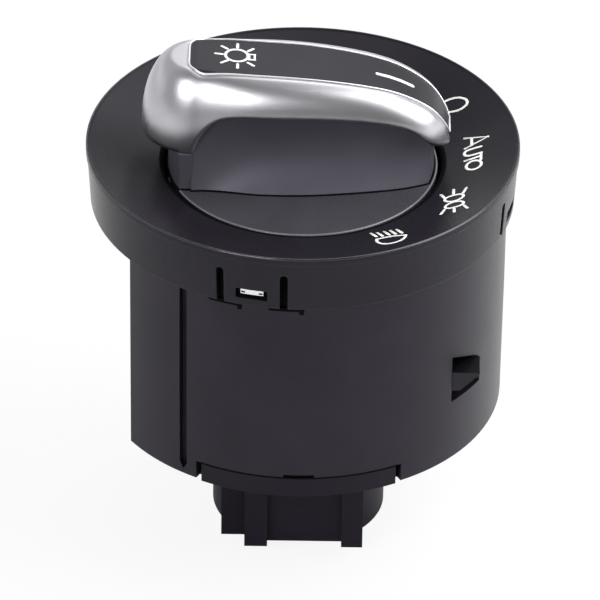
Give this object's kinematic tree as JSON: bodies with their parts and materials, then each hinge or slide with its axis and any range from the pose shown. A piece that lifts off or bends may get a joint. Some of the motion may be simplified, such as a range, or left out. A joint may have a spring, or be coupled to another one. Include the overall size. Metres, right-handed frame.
{
  "type": "headlight switch",
  "caption": "Dashboard rotary headlight switch: a ribbed pointer knob that turns and pushes in a dished round bezel, on a drum housing with a retracting latch and a rear plug socket.",
  "frame": {"origin": "on the knob's turning axis, in the plane where the bezel's foot rests on the panel", "axes": "+Z out of the panel towards the driver along the knob's axis, +X towards the AUTO mark that the knob points to at rest, -Y towards the viewer's side of the picture"},
  "size_m": [0.078, 0.078, 0.0966],
  "materials": {
    "bezel_plastic": "fine-grained matte",
    "housing_plastic": "moulded satin",
    "inner_plastic": "moulded, glass-filled",
    "latch_plastic": "moulded, low friction",
    "rotor_plastic": "fine-grained matte",
    "knob_plastic": "fine-grained matte",
    "inlay_plastic": "satin",
    "satin_chrome": "satin plated",
    "clear_plastic": "clear moulded",
    "board_laminate": "solder mask",
    "chip_resin": "moulded resin",
    "capacitor_can": "satin",
    "resistor_ceramic": "ceramic, tinned ends",
    "led_body": "white resin",
    "terminal_brass": "tin plated",
    "screw_steel": "zinc plated",
    "spring_steel": "drawn wire"
  },
  "bodies": {
    "base": {"bezel": "bezel_plastic", "light_guide": "clear_plastic", "housing": "housing_plastic", "bearing_plate": "inner_plastic", "plate_screws": "screw_steel", "latch_guide": "inner_plastic", "circuit_board": "board_laminate", "controller_chip": "chip_resin", "capacitors": "capacitor_can", "resistors": "resistor_ceramic", "leds": "led_body", "terminal_pins": "terminal_brass", "rear_cover": "housing_plastic", "cover_screws": "screw_steel", "latch_springs": "spring_steel", "detent_spring": "spring_steel"},
    "rotor_body": {"rotor": "rotor_plastic", "release_plate": "latch_plastic", "wiper_carrier": "latch_plastic", "wiper_contacts": "terminal_brass", "shaft_clip": "spring_steel", "knob_spring": "spring_steel"},
    "knob": {"knob_core": "knob_plastic", "knob_trim": "satin_chrome", "knob_inlay": "inlay_plastic", "knob_light_pipe": "clear_plastic"},
    "latch": {"latch_slide": "latch_plastic"},
    "detent": {"detent_plunger": "latch_plastic"}
  },
  "joints": [
    {"name": "rotor_turn", "type": "hinge", "parent": "base", "child": "rotor_body", "pos_m": [0, 0, 0], "axis": [0, 0, 1], "range_deg": [-60, 30]},
    {"name": "knob_push", "type": "slide", "parent": "rotor_body", "child": "knob", "axis": [0, 0, 1], "range_m": [-0.0025, 0], "stiffness_N_per_m": 1500, "springref_m": 0.002, "deforming": ["knob_spring"]},
    {"name": "latch_slide", "type": "slide", "parent": "base", "child": "latch", "axis": [-1, 0, 0], "range_m": [0, 0.0044], "stiffness_N_per_m": 400, "springref_m": -0.003, "deforming": ["latch_springs"]},
    {"name": "detent_plunger", "type": "slide", "parent": "base", "child": "detent", "axis": [0.5, 0.866, 0], "range_m": [-0.0009, 0], "stiffness_N_per_m": 600, "springref_m": -0.003, "deforming": ["detent_spring"]}
  ]
}
